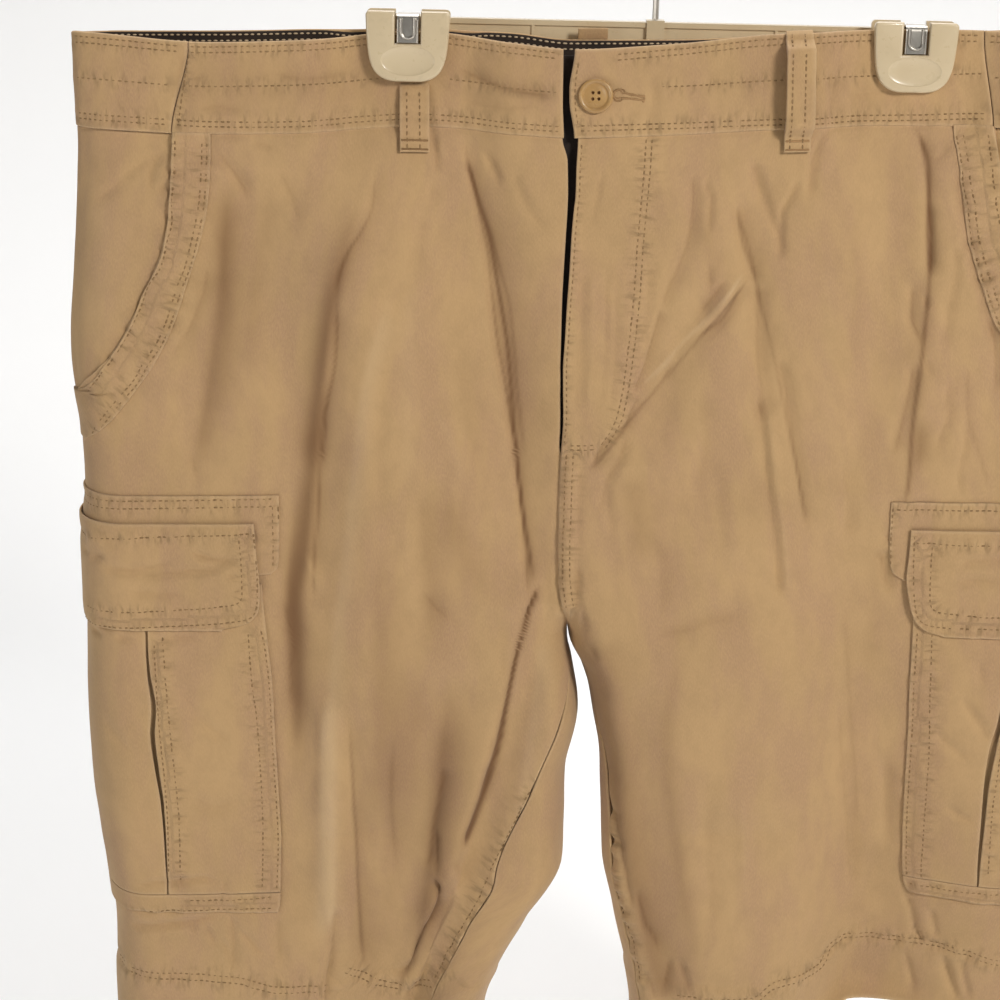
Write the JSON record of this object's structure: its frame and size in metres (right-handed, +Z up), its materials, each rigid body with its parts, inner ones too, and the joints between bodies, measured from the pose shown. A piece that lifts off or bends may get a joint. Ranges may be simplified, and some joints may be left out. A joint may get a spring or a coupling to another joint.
{
  "type": "cargo shorts on a clip hanger",
  "caption": "Knee-length cotton cargo shorts with waistband, fly, slant pockets and flapped side pockets, hung by the waist from a clip hanger.",
  "frame": {"origin": "inner top of the hanger's hook, where a rail carries it", "axes": "+X to the viewer's right, across the shorts; +Y from the front to the back; +Z up"},
  "size_m": [0.5488, 0.0833, 0.6491],
  "materials": {
    "khaki_twill": "washed khaki cotton twill, matt",
    "dark_facing": "dark brown woven facing with pale stitches",
    "horn_button": "tan moulded button with a raised rim",
    "cream_plastic": "glossy cream plastic",
    "steel": "plain bright steel"
  },
  "bodies": {
    "root": {"back_left": "khaki_twill", "back_right": "khaki_twill", "cargo_band_left": "khaki_twill", "cargo_band_right": "khaki_twill", "cargo_flap_left": "khaki_twill", "cargo_flap_right": "khaki_twill", "cargo_front_left": "khaki_twill", "cargo_front_right": "khaki_twill", "cargo_patch_left": "khaki_twill", "cargo_patch_right": "khaki_twill", "cargo_rear_left": "khaki_twill", "cargo_rear_right": "khaki_twill", "clip_spring_left": "steel", "clip_spring_right": "steel", "fly_shield": "dark_facing", "front_left": "khaki_twill", "front_right": "khaki_twill", "hanger_bar": "cream_plastic", "hanger_hook": "steel", "jaw_back_left": "cream_plastic", "jaw_back_right": "cream_plastic", "jaw_front_left": "cream_plastic", "jaw_front_right": "cream_plastic", "loop_back_centre": "khaki_twill", "loop_back_left": "khaki_twill", "loop_back_right": "khaki_twill", "loop_front_left": "khaki_twill", "loop_front_right": "khaki_twill", "pocket_band_left": "khaki_twill", "pocket_band_right": "khaki_twill", "pocket_facing_left": "khaki_twill", "pocket_facing_right": "khaki_twill", "waist_button": "horn_button", "waistband_back_left": "khaki_twill", "waistband_back_right": "khaki_twill", "waistband_facing": "dark_facing", "waistband_front_left": "khaki_twill", "waistband_front_right": "khaki_twill"}
  },
  "joints": []
}
